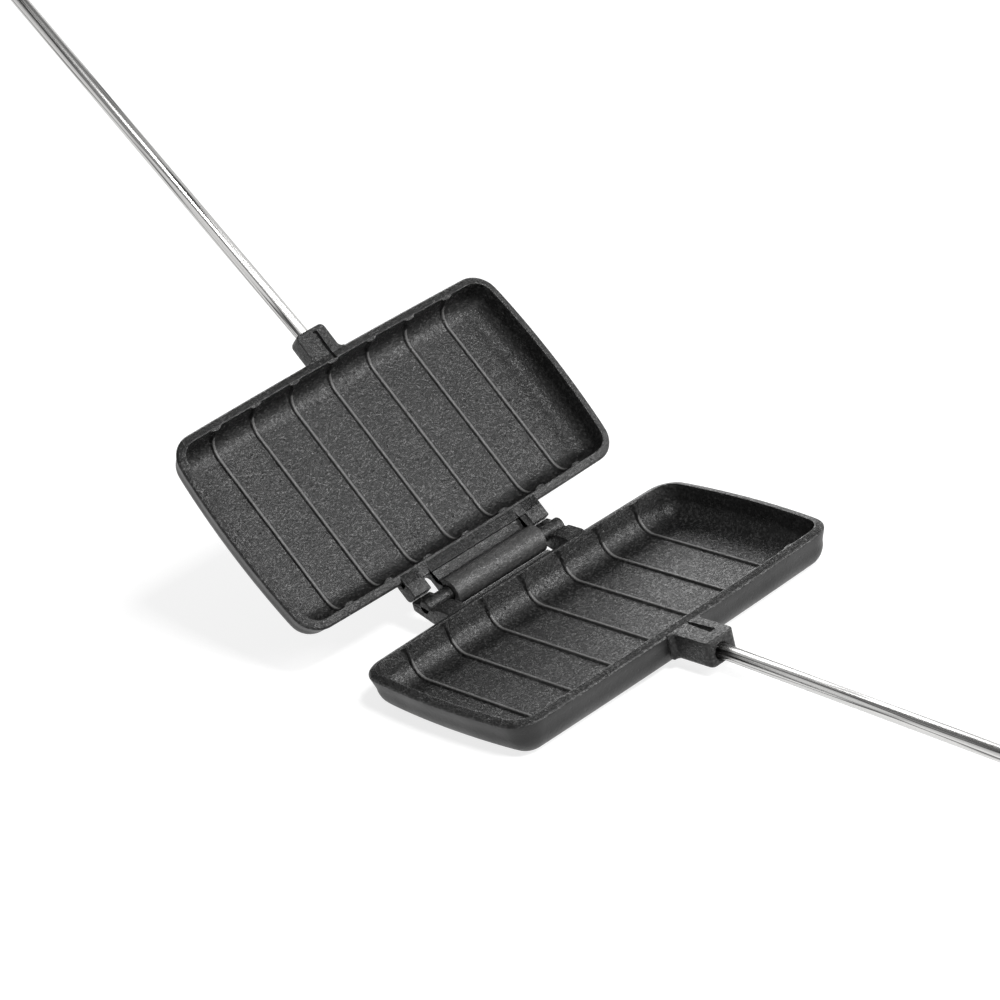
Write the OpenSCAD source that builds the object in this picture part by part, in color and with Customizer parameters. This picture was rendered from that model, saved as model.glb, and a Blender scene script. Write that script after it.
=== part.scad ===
// Long-handled sandwich iron: two ribbed cast pans on a lift-off hinge, one
// steel rod and turned grip on each. The lower half lies flat, +X runs to its
// handle, +Y along the hinge, +Z up. The origin is the centre of its base.

/* [Pans] */
// Length of a pan along the hinge
pan_l = 234; // [200:1:280]
// Width of a pan from the hinge side to the handle side
pan_w = 130; // [110:1:160]
// Height of one pan, from its base to the mating plane
pan_h = 22.5; // [20:0.5:32]
// Radius of the pan's corners seen from above
corner_r = 15.5; // [12:0.5:24]
// How far a long side bows out at its middle
long_bow = 1; // [0.5:0.1:3]
// How far a short side bows out at its middle
short_bow = 2.4; // [1:0.1:4]
// How far the outer wall draws in on its way down
wall_draft = 2.3; // [1:0.1:4]
// Radius between the outer wall and the base
base_round = 13; // [8:0.5:15]
// Width of the rim
rim_w = 5; // [4:0.1:7]
// How far the rim's face falls from its inner to its outer edge
rim_drop = 1.25; // [0.5:0.05:2]
// Chamfer on the outer edge of the rim
rim_chamfer = 0.8; // [0.4:0.1:1.2]
// Thickness of the floor
floor_t = 4.2; // [3.5:0.1:6]
// Radius between the floor and the inner wall
floor_round = 11; // [6:0.5:12]
// How far the inner wall draws in above the fillet
inner_draft = 1; // [0.5:0.1:2]
// Gap between the two mating planes when the iron is shut
mating_gap = 0.2; // [0.1:0.05:0.5]

/* [Ribs] */
// Number of ribs across each pan
rib_count = 7; // [3:2:9]
// Distance from one rib to the next
rib_pitch = 27.8; // [20:0.1:28]
// Width of a rib at its foot
rib_w = 2.8; // [2:0.1:5]
// Height of a rib
rib_h = 1.3; // [1:0.1:3]

/* [Hinge] */
// Distance of the hinge axis from the pan's side
hinge_out = 17.9; // [16:0.1:24]
// Depth of the hinge axis below the lower mating plane
hinge_drop = 1.5; // [0.5:0.1:3]
// Opening angle at which the ears meet the lugs
open_angle = 131.5; // [100:0.5:140]
// Radius of the cast bar
bar_r = 4.3; // [4:0.1:5]
// Gap between the bar and the hook around it
bar_clear = 0.3; // [0.2:0.05:0.6]
// Wall of the hook
hook_wall = 3.6; // [2.9:0.1:4]
// Length of the hook along the bar
hook_l = 65; // [40:1:66]
// Distance between the two lugs
lug_gap = 74; // [72:1:90]
// Length of a lug along the bar
lug_l = 13; // [10:0.5:18]
// Reach of a lug past the hinge axis
lug_reach = 10.5; // [9.8:0.1:12]
// Play between an ear and the side of its lug, in length
ear_short = 1; // [0.5:0.1:3]
// Distance from the ear's tip to the hinge axis
ear_tip = 7.9; // [7.5:0.1:9]
// Gap left between ear and lug at the stop
stop_clear = 0.3; // [0.2:0.05:0.6]
// Thickness of an ear
ear_t = 9; // [6:0.5:12]
// Reach of the flat ledge that carries hook and ears past the pan's side
ledge_out = 2.7; // [1.5:0.1:4]
// Depth of the strip between that ledge and the hook below the rim
strip_drop = 1.2; // [0.8:0.1:3]
// Thickness of that strip
strip_t = 4.1; // [3:0.1:5]
// Distance of the web's top below the hinge axis
web_drop = 9.5; // [9:0.1:10.5]
// Thickness of the web that joins the lugs below the bar
web_t = 3; // [2.5:0.1:4]
// Reach of the web past the hinge axis
web_reach = 1; // [0:0.5:4]

/* [Rod socket] */
// Reach of the lower socket past the pan's side
lower_socket_out = 25.5; // [22:0.1:30]
// Reach of the upper socket past the pan's side
upper_socket_out = 17; // [15.2:0.1:24]
// Width of the socket
socket_w = 19.5; // [17:0.1:24]
// Height of the socket's underside above the base
socket_z = 6.4; // [4:0.1:7]
// Radius of the fillets at the root of the socket
socket_fillet = 3; // [2:0.1:5]
// Radius of the lower socket's own corners
socket_corner = 2.5; // [1.5:0.1:4]
// Radius of the upper socket's corners seen from above
upper_corner = 3; // [2:0.1:5]
// Radius of the upper socket's corners seen from its end
upper_under_round = 7; // [3:0.1:8]
// Length of the shallow, tapering slot in the top of each socket
slot_l = 19; // [12:0.5:20]
// Width of the lower slot at its outer end
slot_w = 4.1; // [2.5:0.1:5]
// Width of the upper slot at its outer end
upper_slot_w = 2.6; // [2.4:0.1:4]
// Width of both slots at their inner end
slot_root_w = 1.4; // [1:0.1:2.4]
// Depth of both slots
slot_depth = 2; // [1:0.1:3]

/* [Rods] */
// Diameter of a rod
rod_d = 8; // [6:0.5:9]
// Depth of the rod's centre line below the mating plane
rod_drop = 9.9; // [9:0.1:11]
// Angle of both rods towards the front end of the pan
rod_yaw = 3.1; // [0:0.1:4]
// Distance from the pan's side to the place that lengths along the rods
// are counted from
rod_from = 19.4; // [18:0.1:21]
// Depth of the rod behind that place
rod_depth = 17; // [14:0.5:19]
// Length of rod from that place to the ferrule
rod_reach = 390; // [250:1:500]
// Gap all round between parts that are pressed or screwed together
seat_clear = 0.05; // [0.02:0.01:0.1]
// Chamfer around the mouth of the rod's hole
mouth_chamfer = 1.2; // [0.4:0.1:1.5]
// Diameter of the pin that holds the rod
pin_d = 3; // [2:0.5:4]
// Distance of that pin behind the same place
pin_inset = 8; // [6:0.5:10]

/* [Grips] */
// Length of a grip behind its ferrule
grip_l = 118; // [90:1:150]
// Largest diameter of a grip
grip_d = 19.2; // [17:0.1:19.6]
// Diameter of a grip at both ends
grip_end_d = 15; // [14:0.1:17]
// Diameter of the tang that runs through the grip
tang_d = 6; // [5:0.5:6]
// Length of a ferrule
ferrule_l = 14; // [10:0.5:20]
// Outer diameter of a ferrule
ferrule_d = 15.6; // [14:0.1:18]
// Wall of a ferrule
ferrule_wall = 1.2; // [0.8:0.1:2]
// Diameter of the washer under the end nut
washer_d = 12; // [10:0.5:14]
// Thickness of that washer
washer_t = 1.2; // [0.8:0.1:2]
// Width across the flats of the end nut
nut_flats = 10; // [9:0.5:12]
// Height of the hexagon of the end nut
nut_hex_h = 5; // [4:0.5:7]

/* [Latch] */
// Distance of the latch from the ferrule
latch_back = 40; // [30:1:80]
// Thickness of the latch hook
hook_plate_t = 2; // [1.5:0.1:3]
// Half the height of the hook's arm
arm_half_h = 4.5; // [4:0.1:6]
// Length of the arm past the catch stud
arm_tip = 7; // [5:0.5:10]
// Gap between the latch hook and the rod beside it
latch_clear = 0.3; // [0.2:0.05:0.6]
// Diameter of the stud's neck and of the screw's shoulder
neck_d = 4; // [3:0.5:4]
// Play around the stud's neck in the hook's notch
notch_play = 0.5; // [0.3:0.1:1]
// Diameter of the heads of the screw and the stud
head_d = 8; // [7:0.5:10]
// Thickness of those heads
head_t = 1.6; // [1:0.1:3]
// Thickness of the spring washer on the screw
wave_t = 0.5; // [0.3:0.1:1]
// Thickness of the folded tab that stops the hook
tab_t = 1.6; // [1:0.1:2]

/* [Hidden] */

$fn = 48;
iron_grey = [0.2, 0.2, 0.2];
steel_grey = [0.75, 0.75, 0.74];
wood_brown = [0.55, 0.36, 0.2];

// A thin slice and a small overlap, both too small to see
slice_t = 0.01;
lap = 0.5;
// Smallest radius that an inset corner keeps
least_r = 3;
// Middle of the slots across the socket, and how far they stop short of the
// end of the lower and of the upper socket
slot_y = 2.4;
slot_inset = 7.5;
upper_slot_inset = 2.6;
// Depth of the groove in the lugs beside the bar
groove_deep = 1.3;
// Flat land that is left at the top of the rim
rim_land = 0.8;

half_l = pan_l / 2;
half_w = pan_w / 2;
edge_z = pan_h - rim_drop;
hinge_x = -half_w - hinge_out;
hinge_z = pan_h - hinge_drop;
// The upper half is built like the lower one and then turned over, so its
// own hinge axis lies above its mating plane
own_axis_z = pan_h + hinge_drop + mating_gap;
hook_r = bar_r + bar_clear;
hook_outer_r = hook_r + hook_wall;
lug_y = lug_gap / 2;
bar_l = lug_gap + 2 * lug_l;
rod_x = half_w + rod_from;
rod_z = pan_h - rod_drop;
rod_r = rod_d / 2;
tang_r = tang_d / 2;

// Places along the rod, from rod_x outwards
ferrule_x = rod_reach;
grip_x = rod_reach + ferrule_l;
washer_x = grip_x + grip_l;
nut_x = washer_x + washer_t;
nut_dome_r = nut_flats / 2 - 0.4;
tang_end_x = nut_x + nut_hex_h + 1;
latch_x = rod_reach - latch_back;
// Distance between the two rods when the iron is shut
rods_apart = 2 * rod_drop + mating_gap;

// Outline of the pan drawn in by inset: arcs at the corners and long, shallow
// arcs along the sides, each of which meets the corners without a kink
function arc_points(cx, cy, r, from, to, steps) =
    [for (i = [0:steps]) let (a = from + (to - from) * i / steps) [cx + r * cos(a), cy + r * sin(a)]];
function pan_outline(inset) =
    let (r = max(corner_r - inset, least_r), w = half_w - inset, l = half_l - inset,
        end_a = 2 * atan(short_bow / (w - r)), side_a = 2 * atan(long_bow / (l - r)),
        end_h = w - r + r * sin(end_a), cy = l - r * cos(end_a) - end_h * tan(end_a / 2),
        side_h = cy + r * sin(side_a), cx = w - r * cos(side_a) - side_h * tan(side_a / 2),
        side_r = side_h / sin(side_a), end_r = end_h / sin(end_a))
    concat(
        arc_points(w - side_r, 0, side_r, -side_a, side_a, 8),
        arc_points(cx, cy, r, side_a, 90 - end_a, 7),
        arc_points(0, l - end_r, end_r, 90 - end_a, 90 + end_a, 6),
        arc_points(-cx, cy, r, 90 + end_a, 180 - side_a, 7),
        arc_points(-w + side_r, 0, side_r, 180 - side_a, 180 + side_a, 8),
        arc_points(-cx, -cy, r, 180 + side_a, 270 - end_a, 7),
        arc_points(0, -l + end_r, end_r, 270 - end_a, 270 + end_a, 6),
        arc_points(cx, -cy, r, 270 + end_a, 360 - side_a, 7));

// Half width of the cavity at the height of the mating plane, at place y
function cavity_half_w(y) = half_w - rim_w - long_bow * pow(y / (half_l - corner_r), 2);

module pan_slice(z, inset) {
    translate([0, 0, z]) linear_extrude(slice_t) polygon(pan_outline(inset));
}

// Outer body: flat base, quarter round, drawn-in wall, chamfered sloping rim
module pan_outside() {
    hull() {
        for (a = [0:15:90])
            pan_slice(base_round * (1 - sin(a)), wall_draft + base_round * (1 - cos(a)));
        pan_slice(edge_z - rim_chamfer, 0);
        pan_slice(edge_z - slice_t, rim_chamfer);
        pan_slice(pan_h - slice_t, rim_w - rim_land);
    }
}

// Space inside the pan, open at the top
module pan_cavity() {
    hull() {
        for (a = [0:15:90])
            pan_slice(floor_t + floor_round * (1 - sin(a)), rim_w + inner_draft + floor_round * (1 - cos(a)));
        pan_slice(pan_h + lap, rim_w);
    }
}

// Half of the section of one rib layer: up from the floor, round the fillet
// and up the wall, standing off the surface by rise and sunk into it by sink
function rib_half(y, rise, sink) =
    let (top_x = cavity_half_w(y), foot_x = top_x - inner_draft, top_z = pan_h - 0.15,
        r = floor_round - rise, out_r = floor_round + sink)
    concat(
        [[top_x + 0.2, top_z], [top_x - rise, top_z]],
        [for (a = [0:15:90])
            [foot_x - floor_round + r * cos(a), floor_t + floor_round - r * sin(a)]],
        [[0, floor_t + rise], [0, floor_t - sink]],
        [for (a = [90:-15:0])
            [foot_x - floor_round + out_r * cos(a), floor_t + floor_round - out_r * sin(a)]],
        [[top_x + sink, pan_h - 3.2], [top_x + 0.2, pan_h - 2.6]]);

module rib_layer(y, rise, sink, width) {
    for (side = [0, 1])
        mirror([side, 0, 0])
            translate([0, y + width / 2, 0]) rotate([90, 0, 0])
                linear_extrude(width) polygon(rib_half(y, rise, sink));
}

module ribs() {
    for (k = [0:rib_count - 1]) {
        y = (k - (rib_count - 1) / 2) * rib_pitch;
        rib_layer(y, rib_h * 0.45, 1.6, rib_w);
        rib_layer(y, rib_h * 0.8, 1.3, rib_w * 0.78);
        rib_layer(y, rib_h, 1, rib_w * 0.5);
    }
}

// Places what lies along the rod, with x counted from rod_x
module along_rod(x) {
    translate([rod_x, 0, rod_z]) rotate([0, 0, -rod_yaw]) translate([x, 0, 0]) children();
}

module turned(x) {
    along_rod(x) rotate([0, 90, 0]) children();
}

// Block with rounded corners seen from above and from its end, its top level
// with the outer edge of the rim
module socket_block(reach, corner, under) {
    inner_x = half_w - rim_w;
    length = rim_w + reach;
    height = edge_z - socket_z;
    intersection() {
        translate([inner_x, 0, 0]) linear_extrude(edge_z) union() {
            translate([0, -socket_w / 2]) square([length - corner, socket_w]);
            translate([0, -socket_w / 2 + corner]) square([length, socket_w - 2 * corner]);
            for (side = [-1, 1])
                translate([length - corner, side * (socket_w / 2 - corner)]) circle(corner);
            for (side = [0, 1])
                mirror([0, side]) difference() {
                    translate([0, socket_w / 2 - lap]) square([rim_w + socket_fillet, socket_fillet + lap]);
                    translate([rim_w + socket_fillet, socket_w / 2 + socket_fillet]) circle(socket_fillet);
                }
        }
        translate([inner_x - lap, 0, socket_z]) rotate([90, 0, 90]) linear_extrude(length + 2 * lap) union() {
            translate([-socket_w / 2 - socket_fillet, under])
                square([socket_w + 2 * socket_fillet, height - under]);
            translate([-socket_w / 2 + under, 0]) square([socket_w - 2 * under, height]);
            for (side = [-1, 1])
                translate([side * (socket_w / 2 - under), under]) circle(under);
        }
    }
}

// What is taken out of a socket: hole for the rod, its chamfer, the pin's
// blind hole from below and the shallow slot on top
module socket_holes(reach, outer_w, inset) {
    hole_r = rod_r + seat_clear;
    face = (reach - rod_from) / cos(rod_yaw);
    slot_end = half_w + reach - inset;
    turned(-rod_depth - seat_clear) cylinder(h = rod_depth + face + 3, r = hole_r);
    turned(face - mouth_chamfer)
        cylinder(h = mouth_chamfer + lap, r1 = hole_r, r2 = hole_r + mouth_chamfer + lap);
    along_rod(-pin_inset) translate([0, 0, socket_z - rod_z - 2])
        cylinder(h = pin_len() + 2 + seat_clear, d = pin_d + 2 * seat_clear, $fn = 32);
    translate([0, 0, edge_z - slot_depth]) linear_extrude(slot_depth + rim_drop + lap) polygon([
        [slot_end - slot_l, slot_y - slot_root_w / 2], [slot_end, slot_y - outer_w / 2],
        [slot_end, slot_y + outer_w / 2], [slot_end - slot_l, slot_y + slot_root_w / 2]]);
}

function pin_len() = rod_z + rod_r + 0.8 - socket_z;

// Lug of the lower half, as a section across the hinge: flat top with a
// groove beside the bar, heel cut back to the plane that the ear meets, and a
// slanting underside
module lug_section() {
    stop_d = ear_tip - stop_clear;
    heel_u = (hinge_drop * sin(open_angle) - stop_d) / -cos(open_angle);
    tip_w = (stop_d + cos(open_angle) * lug_reach) / sin(open_angle);
    groove_w = hinge_drop - groove_deep;
    polygon([
        [hinge_out + 4, hinge_drop - rim_drop - 0.3], [hinge_out + 0.5, hinge_drop],
        [bar_r + 3.4, hinge_drop], [bar_r + 2.9, groove_w], [bar_r - 1.5, groove_w],
        [1.5 - bar_r, hinge_drop], [heel_u, hinge_drop],
        [-lug_reach, tip_w], [-lug_reach, -3.5], [-lug_reach + 1.5, -4.4],
        [3.9, -8.5], [hinge_out + 1, -12.5], [hinge_out + 7, -15.5]]);
}

// Lugs with the bar across them and the web that joins them below the hook
module lower_hinge() {
    web_l = lug_gap + 2 * lap;
    translate([hinge_x, 0, hinge_z]) {
        for (side = [0, 1])
            mirror([0, side, 0])
                translate([0, lug_y + lug_l, 0]) rotate([90, 0, 0]) linear_extrude(lug_l) lug_section();
        translate([0, bar_l / 2, 0]) rotate([90, 0, 0]) cylinder(h = bar_l, r = bar_r);
        translate([-web_reach, -web_l / 2, -web_drop - web_t])
            cube([hinge_out + web_reach + 4, web_l, web_t]);
    }
}

// Hook and ears of the upper half, drawn before it is turned over
module upper_hinge() {
    ear_l = lug_l - ear_short;
    leg_z = pan_h - strip_drop - strip_t;
    translate([hinge_x, hook_l / 2, own_axis_z]) rotate([90, 0, 0]) linear_extrude(hook_l) difference() {
        union() {
            intersection() {
                circle(hook_outer_r);
                translate([-hook_outer_r - 1, 0]) square(2 * hook_outer_r + 2);
            }
            translate([hook_r - lap, leg_z - own_axis_z]) square([hook_wall + lap, own_axis_z - leg_z]);
            translate([hook_r - lap, leg_z - own_axis_z]) square([hinge_out - hook_r + 4, strip_t]);
        }
        circle(hook_r);
    }
    translate([-half_w - ledge_out, -lug_y - lug_l + ear_short / 2, leg_z])
        cube([ledge_out + 4, 2 * (lug_y + lug_l) - ear_short, pan_h - leg_z]);
    for (side = [0, 1])
        mirror([0, side, 0])
            translate([hinge_x, lug_y + ear_short / 2 + ear_l, 0]) rotate([90, 0, 0])
                linear_extrude(ear_l) union() {
                    translate([ear_tip, pan_h - ear_t + 3])
                        square([hinge_out - ear_tip + 4, ear_t - 3]);
                    translate([ear_tip + 3, pan_h - ear_t]) square([hinge_out - ear_tip + 1, ear_t]);
                    translate([ear_tip + 3, pan_h - ear_t + 3]) circle(3);
                }
}

// One half turned over and opened about the hinge
module upper_place() {
    translate([hinge_x, 0, hinge_z]) rotate([0, -open_angle, 0]) translate([-hinge_x, 0, -hinge_z])
        translate([0, 0, 2 * pan_h + mating_gap]) mirror([0, 0, 1]) children();
}

module rod() {
    neck_hole_d = neck_d - 1;
    difference() {
        union() {
            turned(-rod_depth) cylinder(h = rod_depth + rod_reach, r = rod_r);
            turned(rod_reach - lap) cylinder(h = tang_end_x - rod_reach + lap, r = tang_r);
        }
        along_rod(-pin_inset) translate([0, 0, socket_z - rod_z - 2])
            cylinder(h = pin_len() + 2 + seat_clear, d = pin_d + 2 * seat_clear, $fn = 32);
        along_rod(latch_x) rotate([90, 0, 0])
            cylinder(h = rod_r + 1, d = neck_hole_d + 2 * seat_clear, $fn = 32);
    }
}

module rod_pin() {
    along_rod(-pin_inset) translate([0, 0, socket_z - rod_z + seat_clear])
        cylinder(h = pin_len() - seat_clear, d = pin_d, $fn = 32);
}

module ferrule() {
    inner_r = ferrule_d / 2 - ferrule_wall;
    front_t = ferrule_wall + 0.8;
    edge = 1;
    turned(ferrule_x) rotate_extrude() polygon(concat(
        [[tang_r + seat_clear, 0]],
        [for (a = [-90:18:0]) [ferrule_d / 2 - edge + edge * cos(a), edge + edge * sin(a)]],
        [[ferrule_d / 2, ferrule_l], [inner_r, ferrule_l], [inner_r, front_t],
            [tang_r + seat_clear, front_t]]));
}

// Turned grip: tenon inside the ferrule, shoulder with two grooves, swell and
// a rounded end, all from one profile
module grip() {
    front_t = ferrule_wall + 0.8;
    tenon_r = ferrule_d / 2 - ferrule_wall - seat_clear;
    tenon_l = ferrule_l - front_t - seat_clear;
    end_r = grip_end_d / 2;
    swell = grip_d / 2 - end_r;
    bore_r = tang_r + seat_clear;
    groove = 0.7;
    body_to = grip_l - 4;
    turned(grip_x) rotate_extrude() polygon(concat(
        [[bore_r, -tenon_l], [tenon_r, -tenon_l], [tenon_r, seat_clear], [end_r, seat_clear]],
        [for (g = [5, 9]) each [[end_r + 0.1, g - groove], [end_r - groove, g], [end_r + 0.1, g + groove]]],
        [for (t = [0.1:0.05:1]) [end_r + swell * pow(sin(180 * t), 1.5), body_to * t]],
        [for (a = [0:22.5:90]) [washer_d / 2 + (end_r - washer_d / 2) * cos(a), body_to + 4 * sin(a)]],
        [[bore_r, grip_l]]));
}

module grip_washer() {
    turned(washer_x) difference() {
        cylinder(h = washer_t, d = washer_d);
        translate([0, 0, -lap]) cylinder(h = washer_t + 2 * lap, r = tang_r + seat_clear);
    }
}

module grip_nut() {
    turned(nut_x) difference() {
        union() {
            cylinder(h = nut_hex_h, d = nut_flats / cos(30), $fn = 6);
            translate([0, 0, nut_hex_h]) intersection() {
                sphere(nut_dome_r);
                cylinder(h = nut_dome_r + 1, r = nut_dome_r + 1);
            }
        }
        translate([0, 0, -lap]) cylinder(h = tang_end_x - nut_x + lap + 0.4, r = tang_r + seat_clear);
    }
}

// Flat hook beside the rods: a round heel on the screw, an arm towards the
// pans, a notch for the stud and a folded tab that meets the rod at both ends
// of its quarter turn
module latch_hook_part() {
    plate_y = -rod_r - latch_clear;
    notch_w = neck_d + 2 * notch_play;
    heel_r = 7;
    tab_c = rod_r + latch_clear + tab_t / 2;
    along_rod(latch_x) {
        translate([0, plate_y, 0]) rotate([90, 0, 0]) linear_extrude(hook_plate_t) difference() {
            union() {
                circle(heel_r);
                translate([-rods_apart - arm_tip, -arm_half_h])
                    square([rods_apart + arm_tip, 2 * arm_half_h]);
                translate([-tab_c - tab_t / 2, 0]) square(tab_c + tab_t / 2);
            }
            circle(d = neck_d + 1 + 2 * seat_clear);
            translate([-rods_apart + notch_play / 2, 0]) circle(d = notch_w);
            translate([-rods_apart + notch_play / 2 - notch_w / 2, 0]) square([notch_w, arm_half_h + 1]);
        }
        translate([-tab_c - tab_t / 2, plate_y - lap, tab_c - tab_t / 2])
            cube([tab_t, rod_r + 1 + lap, tab_t]);
    }
}

// Shoulder screw through the latch hook into the lower rod
module latch_screw_part() {
    shoulder_l = latch_clear + hook_plate_t + 2 * seat_clear + wave_t;
    along_rod(latch_x) rotate([90, 0, 0]) {
        translate([0, 0, seat_clear]) cylinder(h = rod_r + lap, d = neck_d - 1, $fn = 32);
        translate([0, 0, rod_r + 0.02]) cylinder(h = shoulder_l, d = neck_d + 1);
        translate([0, 0, rod_r + shoulder_l]) difference() {
            cylinder(h = head_t, d = head_d);
            translate([-head_d / 2 - 1, -0.5, head_t - 0.7]) cube([head_d + 2, 1, 1]);
        }
    }
}

module latch_washer_part() {
    washer_y = rod_r + latch_clear + hook_plate_t + seat_clear;
    along_rod(latch_x) rotate([90, 0, 0]) translate([0, 0, washer_y]) difference() {
        cylinder(h = wave_t - seat_clear, d = head_d);
        translate([0, 0, -lap]) cylinder(h = wave_t + 2 * lap, d = neck_d + 1 + 2 * seat_clear);
    }
}

// Headed stud in the upper rod that the latch hook catches
module latch_catch_part() {
    neck_l = 2 * latch_clear + hook_plate_t + wave_t;
    along_rod(latch_x) rotate([90, 0, 0]) {
        translate([0, 0, seat_clear]) cylinder(h = rod_r + lap, d = neck_d - 1, $fn = 32);
        translate([0, 0, rod_r + 0.02]) cylinder(h = neck_l, d = neck_d);
        translate([0, 0, rod_r + neck_l]) cylinder(h = head_t, d = head_d);
    }
}

module pan_with(is_lower) {
    difference() {
        union() {
            pan_outside();
            if (is_lower) socket_block(lower_socket_out, socket_corner, socket_corner);
            else socket_block(upper_socket_out, upper_corner, upper_under_round);
            if (is_lower) lower_hinge();
            else upper_hinge();
        }
        pan_cavity();
        if (is_lower) socket_holes(lower_socket_out, slot_w, slot_inset);
        else socket_holes(upper_socket_out, upper_slot_w, upper_slot_inset);
    }
    ribs();
}

module lower_pan() { color(iron_grey) pan_with(true); }
module upper_pan() { color(iron_grey) upper_place() pan_with(false); }
module lower_rod() { color(steel_grey) rod(); }
module upper_rod() { color(steel_grey) upper_place() rod(); }
module lower_rod_pin() { color(steel_grey) rod_pin(); }
module upper_rod_pin() { color(steel_grey) upper_place() rod_pin(); }
module lower_ferrule() { color(steel_grey) ferrule(); }
module upper_ferrule() { color(steel_grey) upper_place() ferrule(); }
module lower_grip() { color(wood_brown) grip(); }
module upper_grip() { color(wood_brown) upper_place() grip(); }
module lower_grip_washer() { color(steel_grey) grip_washer(); }
module upper_grip_washer() { color(steel_grey) upper_place() grip_washer(); }
module lower_grip_nut() { color(steel_grey) grip_nut(); }
module upper_grip_nut() { color(steel_grey) upper_place() grip_nut(); }
module latch_hook() { color(steel_grey) latch_hook_part(); }
module latch_screw() { color(steel_grey) latch_screw_part(); }
module latch_washer() { color(steel_grey) latch_washer_part(); }
module latch_catch() { color(steel_grey) upper_place() latch_catch_part(); }

lower_pan();
lower_rod();
lower_rod_pin();
lower_ferrule();
lower_grip();
lower_grip_washer();
lower_grip_nut();
upper_pan();
upper_rod();
upper_rod_pin();
upper_ferrule();
upper_grip();
upper_grip_washer();
upper_grip_nut();
latch_hook();
latch_screw();
latch_washer();
latch_catch();
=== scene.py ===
"""Long-handled sandwich iron: two ribbed cast pans on a lift-off hinge, each with a steel rod and a grip."""
import math

import bmesh
import bpy
import numpy as np
from mathutils import Matrix, Vector


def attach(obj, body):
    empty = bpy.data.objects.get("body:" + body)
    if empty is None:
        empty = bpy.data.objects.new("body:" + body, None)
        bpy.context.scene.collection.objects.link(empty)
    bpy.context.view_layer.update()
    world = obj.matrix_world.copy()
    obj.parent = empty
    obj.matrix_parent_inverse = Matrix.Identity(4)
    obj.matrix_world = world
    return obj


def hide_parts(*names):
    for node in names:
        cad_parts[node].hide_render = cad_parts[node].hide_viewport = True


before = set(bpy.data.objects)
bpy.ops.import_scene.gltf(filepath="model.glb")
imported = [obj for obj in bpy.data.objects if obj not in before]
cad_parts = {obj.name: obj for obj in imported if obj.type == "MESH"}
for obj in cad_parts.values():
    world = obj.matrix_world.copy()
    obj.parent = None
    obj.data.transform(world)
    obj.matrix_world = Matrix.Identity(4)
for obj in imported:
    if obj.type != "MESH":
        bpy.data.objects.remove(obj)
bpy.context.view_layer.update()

# Sizes in millimetres, in the part's own frame: +X to the handles, +Y along the hinge, +Z up
MM = 0.001
HALF_L = 117.0
HALF_W = 65.0
PAN_H = 22.5
CORNER_R = 15.5
LONG_BOW = 1.0
SHORT_BOW = 2.4
WALL_DRAFT = 2.3
BASE_ROUND = 13.0
RIM_W = 5.0
RIM_LAND = 0.8
EDGE_Z = 21.25
RIM_CHAMFER = 0.8
FLOOR_T = 4.2
FLOOR_ROUND = 11.0
INNER_DRAFT = 1.0
MATING_GAP = 0.2
RIB_COUNT = 7
RIB_PITCH = 27.8
RIB_HALF = 1.5
RIB_H = 1.3
# Near the rim each rib widens to a tooth of this half width, over this height
TOOTH_TOP = PAN_H - 0.15
TOOTH_HALF = 5.0
TOOTH_FLARE = 5.0
# Below this height the outside of a casting is smoother than its hollow, rim and fittings
SKIN_TOP = EDGE_Z - 1.2
# The top of a fitting lies this far below the rim's, so that no two faces share a plane
FLUSH = 0.02
# Samples along a side of the pan end at this place, where the end bowls begin
SIDE_END_Y = 94.0

HINGE_X = -82.9
HINGE_Z = 21.0
OWN_AXIS_Z = 24.2
OPEN_ANGLE = math.radians(131.5)
BAR_R = 4.3
HOOK_R = 4.6
HOOK_OUTER_R = 8.2
HOOK_HALF_L = 32.5
LUG_Y = 37.0
LUG_L = 13.0
EAR_Y = 37.5
EAR_L = 12.0
EAR_TIP = 7.9
EAR_T = 9.0
STRIP_Z = 17.2
STRIP_T = 4.1
LEDGE_U = 15.2
LEDGE_Y = 49.5
WEB_DROP = 9.5
WEB_T = 3.0
WEB_REACH = 1.0
# Fittings of the hinge run on to this distance from its axis, inside the pan's wall
HINGE_ROOT = 21.9
# Corners of a lug's section as distance towards the pan and height, from the hinge's axis, and their radii
LUG_CORNERS = (
    (24.9, -15.5), (21.9, -0.05), (18.4, 1.5), (7.7, 1.5), (7.2, 0.2), (2.8, 0.2), (-2.8, 1.5),
    (-9.77, 1.5), (-10.5, 0.85), (-10.5, -3.5), (-9.0, -4.4), (3.9, -8.5), (18.9, -12.5))
LUG_RADII = (0.5, 0.5, 1.5, 0.45, 0.4, 0.8, 1.2, 0.3, 0.3, 1.2, 1.2, 8.0, 4.0)

SOCKET_HALF_W = 9.75
SOCKET_Z = 6.4
SOCKET_FILLET = 3.0
SLOT_Y = 2.4
SLOT_L = 19.0
SLOT_ROOT_HALF = 0.7
SLOT_DEPTH = 2.0
MOUTH_CHAMFER = 1.2
# Of each half's socket: its end, corner seen from above, corner seen from its end, slot's end and half width
LOWER_SOCKET = (90.5, 2.5, 2.5, 83.0, 2.05)
UPPER_SOCKET = (82.0, 3.0, 7.0, 79.4, 1.3)
# From this place outwards the slot cuts the rim too; the lower slot stays clear of it
LOWER_RIM_CUT = HALF_W + 1.0
UPPER_RIM_CUT = 60.4

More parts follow.
